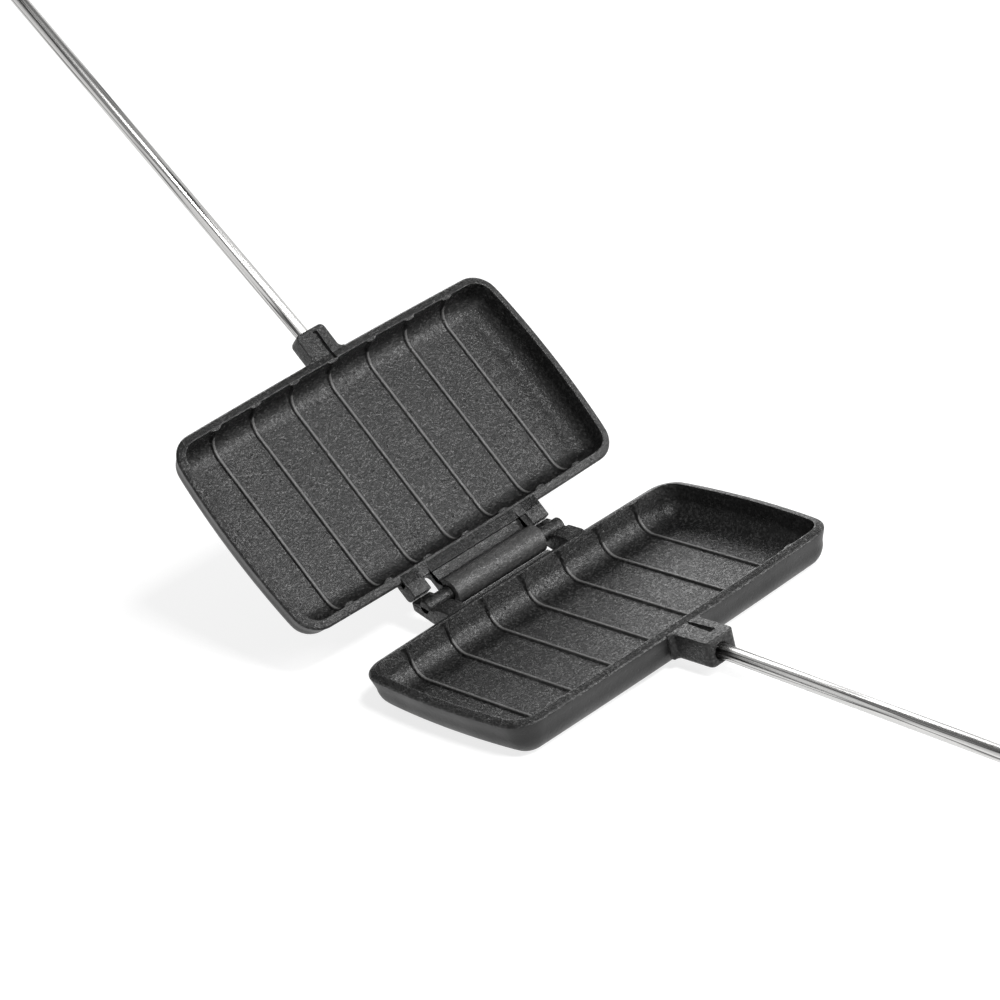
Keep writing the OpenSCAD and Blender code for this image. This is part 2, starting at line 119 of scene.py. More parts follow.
# Lengths along a rod are counted from here
ROD_FROM_X = 84.4
ROD_Z = 12.6
ROD_YAW = math.radians(3.1)
ROD_R = 4.0
ROD_DEPTH = 17.0
ROD_REACH = 390.0
SEAT_CLEAR = 0.05
TANG_R = 3.0
FERRULE_L = 14.0
FERRULE_R = 7.8
FERRULE_WALL = 1.2
GRIP_X = ROD_REACH + FERRULE_L
GRIP_L = 118.0
GRIP_END_R = 7.5
GRIP_SWELL = 2.1
WASHER_X = GRIP_X + GRIP_L
WASHER_T = 1.2
WASHER_R = 6.0
NUT_X = WASHER_X + WASHER_T
NUT_HALF_FLATS = 5.0
NUT_HEX_H = 5.0
NUT_DOME_R = 4.59
TANG_END_X = NUT_X + NUT_HEX_H + 1.0
PIN_INSET = 8.0
PIN_R = 1.5

# In metres: points this close are one, and an edge this short goes
MERGE_WITHIN = 2e-6
SHORTEST_EDGE = 1e-7
# Faces that meet at more than this angle keep a sharp edge
SHARP_FROM = math.radians(38.0)

# Width of one grain of the sand mould, in millimetres
GRAIN_MM = 1.15

# Each lamp's name, place and side in metres, and power in watts
LAMP_AIM = (-0.05, 0, 0.05)
LAMPS = (
    ("key", (1.45, 1.3, 0.85), 0.9, 44.0),
    ("fill", (-1.55, 1.1, 1.0), 1.0, 17.0),
    ("front", (1.25, -0.2, 1.65), 0.35, 34.0))


# ---------------------------------------------------------------- meshes

def grid_faces(rows, cols, ring=True):
    """Each face joins two neighbouring rows and columns; in a ring the last column joins the first."""
    r = np.arange(rows - 1)[:, None]
    c = np.arange(cols if ring else cols - 1)[None, :]
    n = (c + 1) % cols
    quads = np.stack([r * cols + c, r * cols + n, (r + 1) * cols + n, (r + 1) * cols + c], -1)
    return quads.reshape(-1, 4)


def shell(grid, ring=True):
    """Points and faces of one grid of shape (rows, columns, 3)."""
    rows, cols, _ = grid.shape
    return grid.reshape(-1, 3), grid_faces(rows, cols, ring)


def capped(grid):
    """The same rings with one more at each end, drawn together to the middle of the end ring."""
    first = np.broadcast_to(grid[0].mean(0), grid[0].shape)[None]
    last = np.broadcast_to(grid[-1].mean(0), grid[-1].shape)[None]
    return np.concatenate([first, grid, last])


def in_pan(points):
    """The lower half stays where it is drawn."""
    return points


def in_upper(points):
    """Mirror about the mating plane, then turn about the hinge axis by the opening angle."""
    x = points[..., 0] - HINGE_X
    z = 2 * PAN_H + MATING_GAP - points[..., 2] - HINGE_Z
    c, s = math.cos(OPEN_ANGLE), math.sin(OPEN_ANGLE)
    return np.stack([HINGE_X + x * c - z * s, points[..., 1], HINGE_Z + x * s + z * c], -1)


def along_rod(points):
    """Turn by the rod's yaw about the vertical and move out to the place that rods are measured from."""
    c, s = math.cos(ROD_YAW), math.sin(ROD_YAW)
    x, y, z = points[..., 0], points[..., 1], points[..., 2]
    return np.stack([ROD_FROM_X + x * c + y * s, y * c - x * s, ROD_Z + z], -1)


def make_piece(name, shells, place, body, nodes, material):
    """One mesh object from several shells: place every point, merge doubles, turn the faces outwards.

    A shell is its points, its faces and, on a pan, one for each point of the smooth skin."""
    points = np.concatenate([made[0] for made in shells])
    starts = np.cumsum([0] + [len(made[0]) for made in shells])
    faces = np.concatenate([made[1] + start for made, start in zip(shells, starts)])
    skins = [made[2] if len(made) > 2 else np.zeros(len(made[0])) for made in shells]
    placed = place(points) * MM
    mesh = bpy.data.meshes.new(name)
    mesh.from_pydata(placed.tolist(), [], faces.tolist())
    layer = mesh.attributes.new("own_mm", "FLOAT_VECTOR", "POINT")
    layer.data.foreach_set("vector", points.astype(np.float32).ravel())
    layer = mesh.attributes.new("smooth_skin", "FLOAT", "POINT")
    layer.data.foreach_set("value", np.concatenate(skins).astype(np.float32))
    bm = bmesh.new()
    bm.from_mesh(mesh)
    bmesh.ops.remove_doubles(bm, verts=bm.verts, dist=MERGE_WITHIN)
    bmesh.ops.dissolve_degenerate(bm, edges=bm.edges, dist=SHORTEST_EDGE)
    bmesh.ops.recalc_face_normals(bm, faces=bm.faces)
    bm.to_mesh(mesh)
    bm.free()
    mesh.polygons.foreach_set("use_smooth", np.ones(len(mesh.polygons), dtype=bool))
    mesh.set_sharp_from_angle(angle=SHARP_FROM)
    mesh.materials.append(material)
    obj = bpy.data.objects.new(name, mesh)
    bpy.context.scene.collection.objects.link(obj)
    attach(obj, body)
    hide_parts(*nodes)


def rounded_line(points, radii, steps=5):
    """Each corner of an open line gives way to points on a circle that touches both its legs."""
    points = np.asarray(points, float)
    out = [points[0]]
    for before, corner, after, radius in zip(points[:-2], points[1:-1], points[2:], radii):
        if radius <= 0:
            out.append(corner)
            continue
        a = (before - corner) / np.linalg.norm(before - corner)
        b = (after - corner) / np.linalg.norm(after - corner)
        half = math.acos(np.clip(a @ b, -1, 1)) / 2
        reach = radius / math.tan(half)
        middle = corner + (a + b) / np.linalg.norm(a + b) * radius / math.sin(half)
        from_p, to_p = corner + a * reach - middle, corner + b * reach - middle
        t = np.linspace(0, 1, steps)[:, None]
        whole = math.acos(np.clip(from_p @ to_p / radius ** 2, -1, 1))
        arc = (np.sin((1 - t) * whole) * from_p + np.sin(t * whole) * to_p) / math.sin(whole)
        out.extend(middle + arc)
    out.append(points[-1])
    return np.array(out)


def rounded_ring(points, radii, steps=5):
    """The same for a closed line: it starts and ends at the middle of its last leg."""
    points = np.asarray(points, float)
    middle = (points[0] + points[-1]) / 2
    return rounded_line(np.vstack([middle, points, middle]), radii, steps)[:-1]


def drawn_in(ring, by):
    """Closed line of (u, w) points moved towards its inside along the mean normal of its neighbours."""
    tangent = np.roll(ring, -1, 0) - np.roll(ring, 1, 0)
    normal = np.stack([-tangent[:, 1], tangent[:, 0]], -1)
    normal /= np.linalg.norm(normal, axis=1)[:, None]
    x, y = ring[:, 0], ring[:, 1]
    area = (x * np.roll(y, -1) - np.roll(x, -1) * y).sum()
    return ring + normal * by * np.sign(area)


def bar_section(section, y_from, y_to, edge):
    """Section in (u, w) carried along Y; near both ends it is drawn in along a quarter circle."""
    a = np.linspace(0, math.pi / 2, 5)
    inset = edge * (1 - np.sin(a))
    lead = edge * (1 - np.cos(a))
    y = np.concatenate([y_from + lead, y_to - lead[::-1]])
    insets = np.concatenate([inset, inset[::-1]])
    rings = np.stack([drawn_in(section, i) for i in insets])
    ys = np.broadcast_to(y[:, None], rings.shape[:2])
    return np.stack([rings[..., 0], ys, rings[..., 1]], -1)


def lathe(profile, turns=64, closed=False):
    """Profile of (distance along, radius) turned about the rod's axis; closed joins its end to its start."""
    profile = np.asarray(profile, float)
    if closed:
        profile = np.vstack([profile, profile[:1]])
    angle = np.linspace(0, 2 * math.pi, turns, endpoint=False)
    x = np.broadcast_to(profile[:, :1], (len(profile), turns))
    r = profile[:, 1:]
    return np.stack([x, r * np.cos(angle), r * np.sin(angle)], -1)


# ---------------------------------------------------------------- pan

def side_samples():
    """Places along a side: close together over each rib, three more between two ribs."""
    over = RIB_HALF * np.linspace(-1.12, 1.12, 15)
    centres = (np.arange(RIB_COUNT) - (RIB_COUNT - 1) / 2) * RIB_PITCH
    ribs = (centres[:, None] + over).ravel()
    steps = np.array([2.1, 2.7, 3.4, 4.2, 5.2, 8.5])
    beside = (centres[:, None] + np.concatenate([-steps, steps])).ravel()
    between = centres[:-1] + RIB_PITCH / 2
    slot = SLOT_Y + np.array([0.62, 0.78, 0.95])
    return np.sort(np.concatenate([ribs, beside, between, slot, [-SIDE_END_Y, SIDE_END_Y]]))


def pan_ring(inset, side_y):
    """Outline drawn in by inset: long shallow arcs along the sides and ends, joined by corner arcs."""
    r = max(CORNER_R - inset, 3.0)
    w, l = HALF_W - inset, HALF_L - inset
    end_a = 2 * math.atan(SHORT_BOW / (w - r))
    side_a = 2 * math.atan(LONG_BOW / (l - r))
    end_h = w - r + r * math.sin(end_a)
    cy = l - r * math.cos(end_a) - end_h * math.tan(end_a / 2)
    side_h = cy + r * math.sin(side_a)
    cx = w - r * math.cos(side_a) - side_h * math.tan(side_a / 2)
    side_r, end_r = side_h / math.sin(side_a), end_h / math.sin(end_a)

    def arc(x, y, radius, start, stop, steps):
        a = np.linspace(start, stop, steps)
        return np.stack([x + radius * np.cos(a), y + radius * np.sin(a)], -1)

    quarter = np.vstack([
        arc(w - side_r, 0, side_r, math.asin(SIDE_END_Y / side_r), side_a, 4)[1:-1],
        arc(cx, cy, r, side_a, math.pi / 2 - end_a, 13),
        arc(0, l - end_r, end_r, math.pi / 2 - end_a, math.pi / 2, 14)[1:]])
    side = np.stack([w - side_r + np.sqrt(side_r ** 2 - side_y ** 2), side_y], -1)
    flip_x, flip_y = np.array([-1, 1]), np.array([1, -1])
    end = np.vstack([quarter, quarter[-2::-1] * flip_x])
    return np.vstack([side, end, side[::-1] * flip_x, end[::-1] * flip_y])


def pan_profile():
    """Line of (inset, height) from the base's edge round the outside, over the rim and down to the floor."""
    a = np.linspace(math.pi / 2, 0, 12)
    outer = np.stack([WALL_DRAFT + BASE_ROUND * (1 - np.cos(a)), BASE_ROUND * (1 - np.sin(a))], -1)
    rim = rounded_line([
        outer[-1], (0.0, EDGE_Z - RIM_CHAMFER - 0.1), (RIM_CHAMFER + 0.1, EDGE_Z),
        (RIM_W - RIM_LAND, PAN_H - 0.05), (RIM_W, PAN_H - 0.05), (RIM_W + 0.1, TOOTH_TOP - 0.3)],
        (0.9, 0.8, 1.0, 0.25), 4)
    rim = np.vstack([rim[:1], (rim[0] + rim[1]) / 2, rim[1:]])
    b = np.linspace(0, math.pi / 2, 12)
    foot = RIM_W + INNER_DRAFT
    inner = np.stack([foot + FLOOR_ROUND * (1 - np.cos(b)), FLOOR_T + FLOOR_ROUND * (1 - np.sin(b))], -1)
    wall = np.linspace(rim[-1], inner[0], 5)[1:-1]
    return np.vstack([outer[:-1], rim, wall, inner]), len(outer) - 1 + len(rim) - 1


def rib_rise(y, half=RIB_HALF):
    """Height of the ribs at place y: on each rib RIB_H (1 - t^3)^1.5, t from the rib's middle to its foot."""
    off = (y + RIB_PITCH / 2) % RIB_PITCH - RIB_PITCH / 2
    t = np.clip(np.abs(off) / half, 0, 1)
    inside = np.abs(y) < (RIB_COUNT / 2) * RIB_PITCH
    return RIB_H * (1 - t ** 3) ** 1.5 * inside


def pan_shells(rim_cut):
    """Rings of the profile, then the base and the floor as rows of points across the pan."""
    side_y = side_samples()
    profile, cavity_from = pan_profile()
    rings = np.stack([pan_ring(inset, side_y) for inset, _ in profile])
    n_side, n_all = len(side_y), rings.shape[1]
    n_end = (n_all - 2 * n_side) // 2
    grid = np.concatenate([rings, np.broadcast_to(profile[:, 1, None, None], rings.shape[:2] + (1,))], -1)

    # Ribs stand off the wall, the fillet and the floor along the surface's own normal
    slope = np.gradient(profile, axis=0)
    slope /= np.linalg.norm(slope, axis=1)[:, None]
    across, up = -slope[:, 1], slope[:, 0]
    below = np.clip((PAN_H - profile[:, 1]) / TOOTH_FLARE, 0, 1)[:, None]
    half = TOOTH_HALF + (RIB_HALF - TOOTH_HALF) * np.sqrt(below)
    rise = rib_rise(grid[..., 1], half) * (np.arange(len(profile)) >= cavity_from)[:, None]
    on_side = np.zeros(n_all, bool)
    on_side[:n_side] = True
    on_side[n_side + n_end:2 * n_side + n_end] = True
    rise = rise * on_side
    grid[..., 0] -= np.sign(grid[..., 0]) * rise * across[:, None]
    grid[..., 2] += rise * up[:, None]
    tooth = (np.arange(len(profile)) >= cavity_from)[:, None] & (rise > 0)
    grid[..., 2] = np.where(tooth, np.minimum(grid[..., 2], TOOTH_TOP), grid[..., 2])

    # Where the slot of the socket runs into the rim, the rim lies below the slot's floor
    in_slot = (grid[..., 0] > rim_cut) & (np.abs(grid[..., 1] - SLOT_Y) < SLOT_ROOT_HALF + 0.1)
    sunk = EDGE_Z - SLOT_DEPTH - 0.1
    grid[..., 2] = np.where(in_slot, np.minimum(grid[..., 2], sunk), grid[..., 2])

    outside = (profile[:, 1] < SKIN_TOP) & (np.arange(len(profile)) < cavity_from)
    shells = [shell(grid) + (np.repeat(outside, n_all),)]
    for ring, ribbed in ((grid[0], False), (grid[-1], True)):
        right = ring[:n_side]
        left = ring[n_side + n_end:2 * n_side + n_end][::-1]
        columns = n_end + 2
        t = np.linspace(0, 1, columns)[None, :, None]
        rows = right[:, None] * (1 - t) + left[:, None] * t
        if ribbed:
            rows[..., 2] = FLOOR_T + rib_rise(rows[..., 1])
        made = [rows]
        far = np.vstack([right[-1:], ring[n_side:n_side + n_end], left[-1:]])
        near = np.vstack([right[:1], ring[2 * n_side + n_end:][::-1], left[:1]])
        for row, edge in ((rows[-1], far), (rows[0], near)):
            s = np.linspace(0, 1, 4)[:, None, None]
            made.append(row[None] * (1 - s) + edge[None] * s)
        for part in made:
            shells.append(shell(part, ring=False) + (np.full(part[..., 0].size, not ribbed),))
    return shells


def socket_shells(end_x, corner, under, slot_end, slot_half):
    """Rounded sections carried outwards to the face, then inwards down the rod's hole."""
    slot_from = slot_end - SLOT_L
    top_z = EDGE_Z - FLUSH
    lead = np.linspace(0, math.pi / 2, 8)
    flare_x = HALF_W + SOCKET_FILLET - SOCKET_FILLET * np.cos(lead)
    flare_w = SOCKET_HALF_W + SOCKET_FILLET - SOCKET_FILLET * np.sin(lead)
    nose_x = end_x - corner + corner * np.sin(lead)
    nose_w = SOCKET_HALF_W - corner + corner * np.cos(lead)
    extra = np.array([slot_from - 0.25, slot_from, slot_end - 0.4, slot_end - 0.1, slot_end + 0.1,
                      slot_end + 0.5, 70.5, 73.0, 75.5])
    xs = np.concatenate([flare_x, nose_x])
    ws = np.concatenate([flare_w, nose_w])
    ws = np.concatenate([ws, np.interp(extra, xs, ws)])
    xs = np.concatenate([xs, extra])
    order = np.argsort(xs)
    xs, ws = xs[order], ws[order]
    edge = 0.7
    top_cut = edge - np.sqrt(np.maximum(edge ** 2 - np.maximum(xs - end_x + edge, 0) ** 2, 0))
    along = np.clip((xs - slot_from) / SLOT_L, 0, 1)
    slot_hs = SLOT_ROOT_HALF + (slot_half - SLOT_ROOT_HALF) * along

    def section(half_w, cut, slot_h):
        top, bottom = top_z - cut, SOCKET_Z + cut
        c = np.linspace(0, math.pi / 2, 7)
        beside = slot_h + np.array([0.12, -0.12, -0.45])
        top_y = np.concatenate([
            np.linspace(SLOT_Y + slot_h + 0.4, half_w - edge, 5)[::-1], SLOT_Y + beside, [SLOT_Y],
            SLOT_Y - beside[::-1], np.linspace(SLOT_Y - slot_h - 0.4, -half_w + edge, 5)])
        top_line = np.stack([top_y, np.full(len(top_y), top)], -1)
        left_top = np.stack([-half_w + edge - edge * np.sin(c), top - edge + edge * np.cos(c)], -1)[1:]
        low = min(under, half_w - 0.5)
        left_low = np.stack([-half_w + low - low * np.cos(c), bottom + low - low * np.sin(c)], -1)
        left_side = np.linspace(left_top[-1], left_low[0], 6)[1:-1]
        floor = np.stack([np.linspace(-half_w + low, half_w - low, 7)[1:-1], np.full(5, bottom)], -1)
        right = np.array([-1, 1])
        return np.vstack([top_line, left_top, left_side, left_low, floor, left_low[::-1] * right,
                          left_side[::-1] * right, left_top[::-1] * right])

    rings = np.stack([section(*row) for row in zip(ws, top_cut, slot_hs)])
    grid = np.concatenate([np.broadcast_to(xs[:, None, None], rings.shape[:2] + (1,)), rings], -1)
    x, z = grid[..., 0], grid[..., 2]
    off = np.abs(grid[..., 1] - SLOT_Y) - slot_hs[:, None]
    in_slot = (off < 0) & (z > top_z - 1.0) & (x >= slot_from - 0.01) & (x < slot_end)
    corner_up = np.where((x > slot_end - 0.3) | (off > -0.3), 0.45, 0.0)
    grid[..., 2] = np.where(in_slot, EDGE_Z - SLOT_DEPTH + corner_up, z)

    face = grid[-1]
    step = np.linalg.norm(np.diff(np.vstack([face, face[:1]]), axis=0), axis=1)
    place = np.concatenate([[0], np.cumsum(step)[:-1]]) / step.sum()
    start = math.atan2(face[0, 2] - ROD_Z, face[0, 1])
    angle = start + 2 * math.pi * place
    hole_r = ROD_R + SEAT_CLEAR
    out = (end_x - ROD_FROM_X) / math.cos(ROD_YAW)
    disc = np.stack([np.zeros_like(angle), np.cos(angle), np.sin(angle)], -1)
    mouth = along_rod(disc * (hole_r + MOUTH_CHAMFER) + np.array([out, 0, 0]))
    mouth[:, 0] = end_x
    lip = along_rod(disc * hole_r + np.array([out - MOUTH_CHAMFER, 0, 0]))
    end = along_rod(disc * hole_r + np.array([-ROD_DEPTH - SEAT_CLEAR, 0, 0]))
    grid = np.concatenate([grid, (face * 0.5 + mouth * 0.5)[None], mouth[None], lip[None], end[None]])
    return [shell(capped(grid))]


def lug_shells():
    """Two slanting lugs grooved beside the bar, the bar right across them and the web below it."""
    section = rounded_ring(LUG_CORNERS, LUG_RADII)
    section = section + np.array([HINGE_X, HINGE_Z])
    shells = []
    for side in (1, -1):
        grid = bar_section(section, LUG_Y, LUG_Y + LUG_L, 0.8)
        grid = grid * np.array([1, side, 1])
        shells.append(shell(capped(grid)))
    end = LUG_Y + LUG_L
    line = rounded_line([(-end, 0), (-end, BAR_R), (end, BAR_R), (end, 0)], (1.2, 1.2), 5)
    bar = lathe(line, 48)
    bar = np.stack([bar[..., 1] + HINGE_X, bar[..., 0], bar[..., 2] + HINGE_Z], -1)
    shells.append(shell(bar))
    low = -WEB_DROP - WEB_T
    web = rounded_ring([
        (HINGE_ROOT, -WEB_DROP), (-WEB_REACH, -WEB_DROP), (-WEB_REACH, low), (HINGE_ROOT, low)],
        (0.4, 1.4, 1.4, 0.4))
    web = web + np.array([HINGE_X, HINGE_Z])
    shells.append(shell(capped(bar_section(web, -LUG_Y - 0.5, LUG_Y + 0.5, 0.3))))
    return shells


def hook_shells():
    """The open hook with its leg and strip as one section along the bar, an ear near each end, the ledge
    that carries them all, and the round bottom of the slot between hook and ear."""
    strip_low, strip_top = STRIP_Z - OWN_AXIS_Z, STRIP_Z + STRIP_T - OWN_AXIS_Z
    top_z = PAN_H - FLUSH
    ledge_top = top_z - OWN_AXIS_Z
    over = np.linspace(0, math.pi, 25)
    outer = np.stack([HOOK_OUTER_R * np.cos(over), HOOK_OUTER_R * np.sin(over)], -1)
    wall = (HOOK_OUTER_R - HOOK_R) / 2
    lip_a = np.linspace(math.pi, 2 * math.pi, 8)[1:-1]
    lip = np.stack([-HOOK_R - wall + wall * np.cos(lip_a), wall * np.sin(lip_a) * 0.15], -1)
    inner = np.stack([HOOK_R * np.cos(over[::-1]), HOOK_R * np.sin(over[::-1])], -1)
    leg_in = HOOK_R - 0.5
    meet = -math.sqrt(HOOK_R ** 2 - leg_in ** 2)
    under = rounded_line([(leg_in, meet), (leg_in, strip_low), (HINGE_ROOT, strip_low)], (1.4,), 5)
    top = rounded_line([
        (HINGE_ROOT, ledge_top), (LEDGE_U, ledge_top), (LEDGE_U, strip_top), (HOOK_OUTER_R, strip_top),
        outer[0]], (0.5, 0.55, 1.8), 6)
    section = np.vstack([outer[1:], lip, inner, under, top])
    section = section + np.array([HINGE_X, OWN_AXIS_Z])
    shells = [shell(capped(bar_section(section, -HOOK_HALF_L, HOOK_HALF_L, 0.5)))]
    ear = rounded_ring([
        (HINGE_ROOT, top_z), (EAR_TIP, top_z), (EAR_TIP, PAN_H - EAR_T), (HINGE_ROOT, PAN_H - EAR_T)],
        (0.5, 0.7, 3.0, 0.5), 6)
    ledge = rounded_ring([
        (HINGE_ROOT, top_z), (LEDGE_U, top_z), (LEDGE_U, STRIP_Z), (HINGE_ROOT, STRIP_Z)],
        (0.5, 0.5, 0.5, 0.5))
    shells.append(shell(capped(bar_section(ledge + np.array([HINGE_X, 0]), -LEDGE_Y, LEDGE_Y, 0.7))))
    notch = (EAR_Y - HOOK_HALF_L) / 2
    turn = np.linspace(-math.pi / 2, math.pi / 2, 17)
    turn = np.concatenate([turn[:1], turn, turn[-1:]])
    edge_u = HINGE_X + LEDGE_U - notch + notch * np.cos(turn)
    edge_y = HOOK_HALF_L + notch + notch * np.sin(turn)
    lap = 0.4
    edge_y[0] -= lap
    edge_y[-1] += lap
    back_u = np.full_like(edge_u, HINGE_X + LEDGE_U + 1.0)
    low, high = np.full_like(edge_u, STRIP_Z), np.full_like(edge_u, STRIP_Z + STRIP_T)
    fill = np.stack([
        np.stack([edge_u, edge_y, low], -1), np.stack([edge_u, edge_y, high], -1),
        np.stack([back_u, edge_y, high], -1), np.stack([back_u, edge_y, low], -1)], 1)
    for side in (1, -1):
        flip = np.array([1, side, 1])
        grid = bar_section(ear + np.array([HINGE_X, 0]), EAR_Y, EAR_Y + EAR_L, 0.8)
        shells.append(shell(capped(grid * flip)))
        shells.append(shell(capped(fill * flip)))
    return shells


# ---------------------------------------------------------------- turned pieces

def rod_line():
    """Rod from the bottom of its hole to the shoulder, then the thinner tang."""
    return rounded_line([
        (-ROD_DEPTH, 0), (-ROD_DEPTH, ROD_R), (ROD_REACH, ROD_R), (ROD_REACH, TANG_R),
        (TANG_END_X, TANG_R), (TANG_END_X, 0)], (0.3, 0.3, 0.0, 0.4), 3)


def ferrule_line():
    """Cup with a rounded front edge, a hole for the tang and a thin wall round the grip's tenon."""
    front = FERRULE_WALL + 0.8
    hole = TANG_R + SEAT_CLEAR
    end = FERRULE_L
    line = rounded_line([
        (0, hole), (0, FERRULE_R), (end, FERRULE_R), (end, FERRULE_R - FERRULE_WALL),
        (front, FERRULE_R - FERRULE_WALL), (front, hole)], (1.0, 0.35, 0.15, 0.0), 6)
    return line + np.array([ROD_REACH, 0])


def grip_line():
    """Tenon, shoulder with two grooves, a swell of sin^1.5 along the body, and a rounded end."""
    front = FERRULE_WALL + 0.8
    tenon_r = FERRULE_R - FERRULE_WALL - SEAT_CLEAR
    tenon_l = FERRULE_L - front - SEAT_CLEAR
    bore = TANG_R + SEAT_CLEAR
    body_to = GRIP_L - 4.0
    x = np.concatenate([np.linspace(0.6, 11, 53), np.linspace(11.6, body_to, 60)])
    swell = np.sin(np.pi * np.clip(x / body_to, 0, 1)) ** 1.5
    groove = sum(np.maximum(0, 1 - ((x - g) / 0.85) ** 2) for g in (5.0, 9.0))
    body = np.stack([x, GRIP_END_R + GRIP_SWELL * swell - 0.6 * groove], -1)
    a = np.linspace(0, math.pi / 2, 9)[1:]
    end = np.stack([body_to + 4 * np.sin(a), WASHER_R + (GRIP_END_R - WASHER_R) * np.cos(a)], -1)
    line = np.vstack([
        [(-tenon_l, bore), (-tenon_l, tenon_r), (SEAT_CLEAR, tenon_r), (SEAT_CLEAR, GRIP_END_R - 0.5),
         (SEAT_CLEAR + 0.15, GRIP_END_R - 0.15)], body, end, [(GRIP_L, bore)]])
    return line + np.array([GRIP_X, 0])


def washer_line():
    """Flat ring with its outer edges broken."""
    hole = TANG_R + SEAT_CLEAR
    line = rounded_line([
        (0, hole), (0, WASHER_R), (WASHER_T, WASHER_R), (WASHER_T, hole)], (0.3, 0.3), 4)
    return line + np.array([WASHER_X, 0])


def nut_shells():
    """Hexagon cut by a cone at both faces, r = least of both at each angle, then a half round cap."""
    turns = 96
    angle = np.linspace(0, 2 * math.pi, turns, endpoint=False)
    sixth = math.pi / 3
    hexagon = NUT_HALF_FLATS / np.cos((angle % sixth) - sixth / 2)
    x = np.concatenate([np.linspace(0, 0.7, 5), np.linspace(NUT_HEX_H - 0.9, NUT_HEX_H, 6)])
    land, slope = 0.1, 1.3
    cone = NUT_HALF_FLATS + land + np.minimum(x, NUT_HEX_H - x) * slope
    hexes = np.minimum(hexagon[None], cone[:, None])
    a = np.linspace(0, math.pi / 2, 12)
    dome_x = NUT_HEX_H + NUT_DOME_R * np.sin(a)
    dome = np.broadcast_to((NUT_DOME_R * np.cos(a))[:, None], (12, turns))
    bore = np.full((1, turns), TANG_R + SEAT_CLEAR)
    xs = np.concatenate([[0], x, dome_x])
    rs = np.concatenate([bore, hexes, dome])
    deep = TANG_END_X - NUT_X + 0.4
    xs = np.concatenate([[deep, deep], xs])
    rs = np.concatenate([np.zeros((1, turns)), bore, rs])
    xx = np.broadcast_to(xs[:, None], rs.shape) + NUT_X
    return [shell(np.stack([xx, rs * np.cos(angle), rs * np.sin(angle)], -1))]


def pin_shells():
    """Round pin standing up through the rod, with broken edges, as a profile turned about the vertical."""
    low = SOCKET_Z - ROD_Z + SEAT_CLEAR
    high = ROD_R + 0.8
    line = rounded_line([(low, 0), (low, PIN_R), (high, PIN_R), (high, 0)], (0.25, 0.25), 4)
    pin = lathe(line, 32)
    pin = np.stack([pin[..., 1] - PIN_INSET, pin[..., 2], pin[..., 0]], -1)
    return [shell(pin)]


# ---------------------------------------------------------------- materials

def new_material(name):
    """New material, its node tree and its own Principled shader."""
    material = bpy.data.materials.new(name)
    material.use_nodes = True
    tree = material.node_tree
    tree.nodes.clear()
    shader = tree.nodes.new("ShaderNodeBsdfPrincipled")
    out = tree.nodes.new("ShaderNodeOutputMaterial")
    tree.links.new(shader.outputs["BSDF"], out.inputs["Surface"])
    return material, tree, shader


def node(tree, kind, values=None, **settings):
    """New node with its settings, and with values put on or linked to its inputs."""
    made = tree.nodes.new("ShaderNode" + kind)
    for key, value in settings.items():
        setattr(made, key, value)
    for key, value in (values or {}).items():
        socket = made.inputs[key]
        if isinstance(value, bpy.types.NodeSocket):
            tree.links.new(value, socket)
        else:
            socket.default_value = value
    return made


def grey(level):
    """Solid colour with the same red, green and blue."""
    return (level, level, level, 1.0)


def ramp(tree, factor, stops):
    """Colour ramp of (place, grey or colour) stops."""
    made = node(tree, "ValToRGB", {"Fac": factor})
    cells = made.color_ramp.elements
    while len(cells) < len(stops):
        cells.new(0.5)
    for cell, (place, colour) in zip(cells, stops):
        cell.position = place
        cell.color = grey(colour) if isinstance(colour, float) else colour + (1.0,)
    return made.outputs["Color"]


def math_node(tree, operation, first, second=0.0):
    """Arithmetic on one or two values."""
    return node(tree, "Math", {0: first, 1: second}, operation=operation).outputs[0]


def mix_colours(tree, share, first, second, blend="MIX"):
    """Second colour over the first by share."""
    made = node(tree, "Mix", {0: share, 6: first, 7: second}, data_type="RGBA", blend_type=blend)
    return made.outputs[2]


def mix_values(tree, share, first, second):
    """Second value in place of the first by share."""
    return node(tree, "Mix", {0: share, 2: first, 3: second}, data_type="FLOAT").outputs[0]


def stretch(tree, value, low, high, to_low=0.0, to_high=1.0):
    """Value between low and high spread from to_low to to_high, and held there beyond them."""
    return node(tree, "MapRange", {"Value": value, 1: low, 2: high, 3: to_low, 4: to_high}).outputs[0]


def scaled(tree, place, factors):
    """Place with each of its three lengths multiplied."""
    return node(tree, "VectorMath", {0: place, 1: factors}, operation="MULTIPLY").outputs[0]


def times_plus(tree, value, factor, more):
    """Value times factor, plus more."""
    return node(tree, "Math", {0: value, 1: factor, 2: more}, operation="MULTIPLY_ADD").outputs[0]


def noise(tree, place, scale, detail, roughness=0.5):
    """Cloudy noise between nought and one."""
    values = {"Vector": place, "Scale": scale, "Detail": detail, "Roughness": roughness}
    return node(tree, "TexNoise", values).outputs["Fac"]


def own_place(tree):
    """Place on the piece in its own millimetres, as drawn before a rod or a hinge moves it."""
    return node(tree, "Attribute", attribute_name="own_mm").outputs["Vector"]


def dress(tree, shader, colour, rough, height, strength, depth):
    """Colour and roughness on the shader, and the height as a bump of this depth in metres."""
    tree.links.new(colour, shader.inputs["Base Color"])
    tree.links.new(rough, shader.inputs["Roughness"])
    bump = node(tree, "Bump", {"Strength": strength, "Distance": depth, "Height": height})
    tree.links.new(bump.outputs[0], shader.inputs["Normal"])


